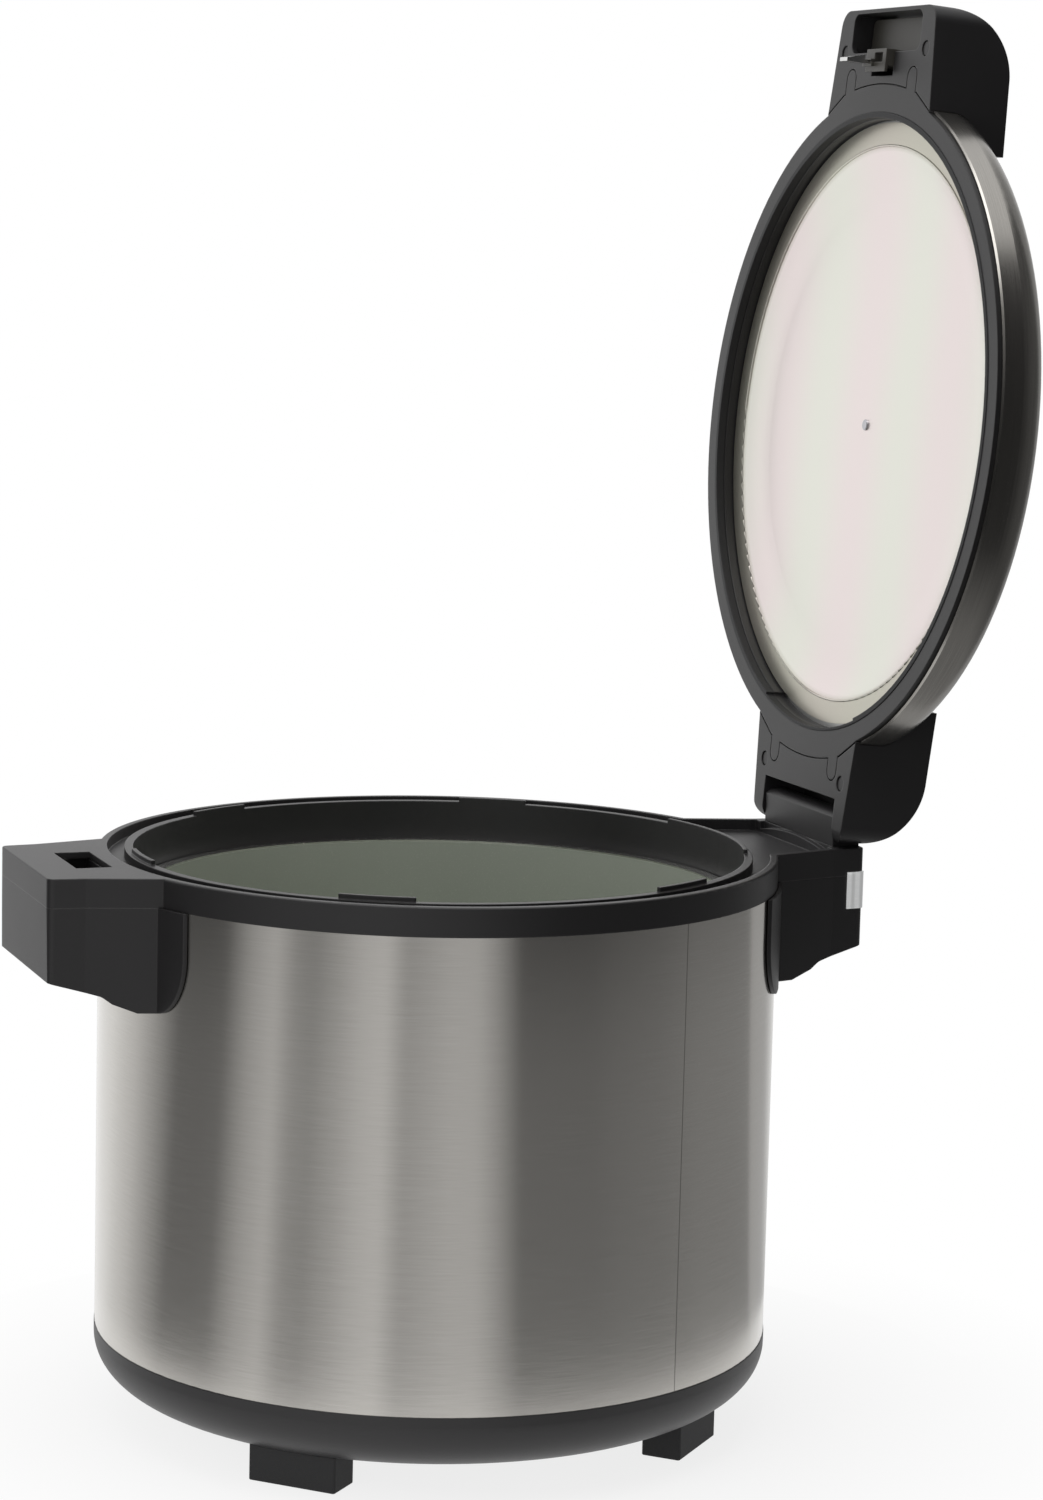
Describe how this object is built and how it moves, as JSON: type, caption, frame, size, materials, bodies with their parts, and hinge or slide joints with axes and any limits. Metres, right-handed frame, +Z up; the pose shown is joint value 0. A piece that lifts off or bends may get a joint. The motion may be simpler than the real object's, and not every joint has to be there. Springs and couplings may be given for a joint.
{
  "type": "rice warmer",
  "caption": "Commercial electric rice warmer: round steel body with ears and grips, lift-out pot, and a hinged domed lid standing open, with a push latch at its free end",
  "frame": {"origin": "on the floor, under the middle of the object with its lid open", "axes": "+Z up; +X towards the hinge side; -Y towards the front; the pot axis is parallel to Z, 32.0 mm on the -X side of the origin"},
  "size_m": [0.5137, 0.362, 0.7543],
  "materials": {
    "black_plastic": "moulded, fine matt texture",
    "foot_rubber": "matt rubber",
    "screw_steel": "plain zinc-plated steel",
    "shell_steel": "brushed with a fine grain",
    "hook_steel": "bright stamped steel",
    "clear_lens": "clear moulded lens",
    "lamp_amber": "small amber lamp",
    "liner_steel": "plain rolled steel",
    "cast_aluminium": "cast and machined",
    "element_steel": "dull heater sheath",
    "mineral_wool": "pressed mineral wool",
    "terminal_white": "white ceramic-like moulding",
    "pot_coating": "matt non-stick coating on drawn aluminium",
    "seal_rubber": "soft black silicone",
    "pan_steel": "satin, pearly inner lid sheet",
    "button_grey": "moulded grey plastic"
  },
  "bodies": {
    "warmer_body": {"base_pan": "black_plastic", "feet": "foot_rubber", "foot_screws": "screw_steel", "outer_shell": "shell_steel", "cord_bushing": "foot_rubber", "top_ring": "black_plastic", "pot_seat_ring": "black_plastic", "grip_latch_side": "black_plastic", "grip_hinge_side": "black_plastic", "grip_screws": "screw_steel", "latch_strike": "hook_steel", "pilot_lens": "clear_lens", "pilot_lamp": "lamp_amber", "hinge_tower": "black_plastic", "tower_screws": "screw_steel", "hinge_pin": "screw_steel", "inner_liner": "liner_steel", "liner_posts": "screw_steel", "heater_plate": "cast_aluminium", "heating_element": "element_steel", "side_heater": "cast_aluminium", "insulation_wrap": "mineral_wool", "thermostat": "screw_steel", "thermal_fuse": "terminal_white", "terminal_block": "terminal_white"},
    "pot": {"inner_pot": "pot_coating"},
    "lid": {"lid_dome": "shell_steel", "lid_ring": "black_plastic", "lid_seal": "seal_rubber", "latch_cap": "black_plastic", "hinge_cap": "black_plastic", "cap_brackets": "screw_steel", "cap_screws": "screw_steel", "cap_plugs": "black_plastic", "lid_backing_plate": "liner_steel", "lid_insulation": "mineral_wool", "lid_pan": "pan_steel", "pan_screw": "screw_steel", "latch_pin": "screw_steel", "latch_spring": "screw_steel"},
    "latch": {"latch_lever": "button_grey", "latch_hook": "hook_steel"}
  },
  "joints": [
    {"name": "lid_hinge", "type": "hinge", "parent": "warmer_body", "child": "lid", "pos_m": [0.18445, -0.00065, 0.31545], "axis": [0, -1, 0], "range_deg": [0, 95.05]},
    {"name": "latch_press", "type": "hinge", "parent": "lid", "child": "latch", "pos_m": [0.23062, -0.00065, 0.72939], "axis": [0, -1, 0], "range_deg": [0, 10], "stiffness_Nm_per_rad": 0.6, "springref_deg": -8.59},
    {"name": "pot_lift", "type": "slide", "parent": "warmer_body", "child": "pot", "axis": [0, 0, 1], "range_m": [0, 0.026]}
  ]
}
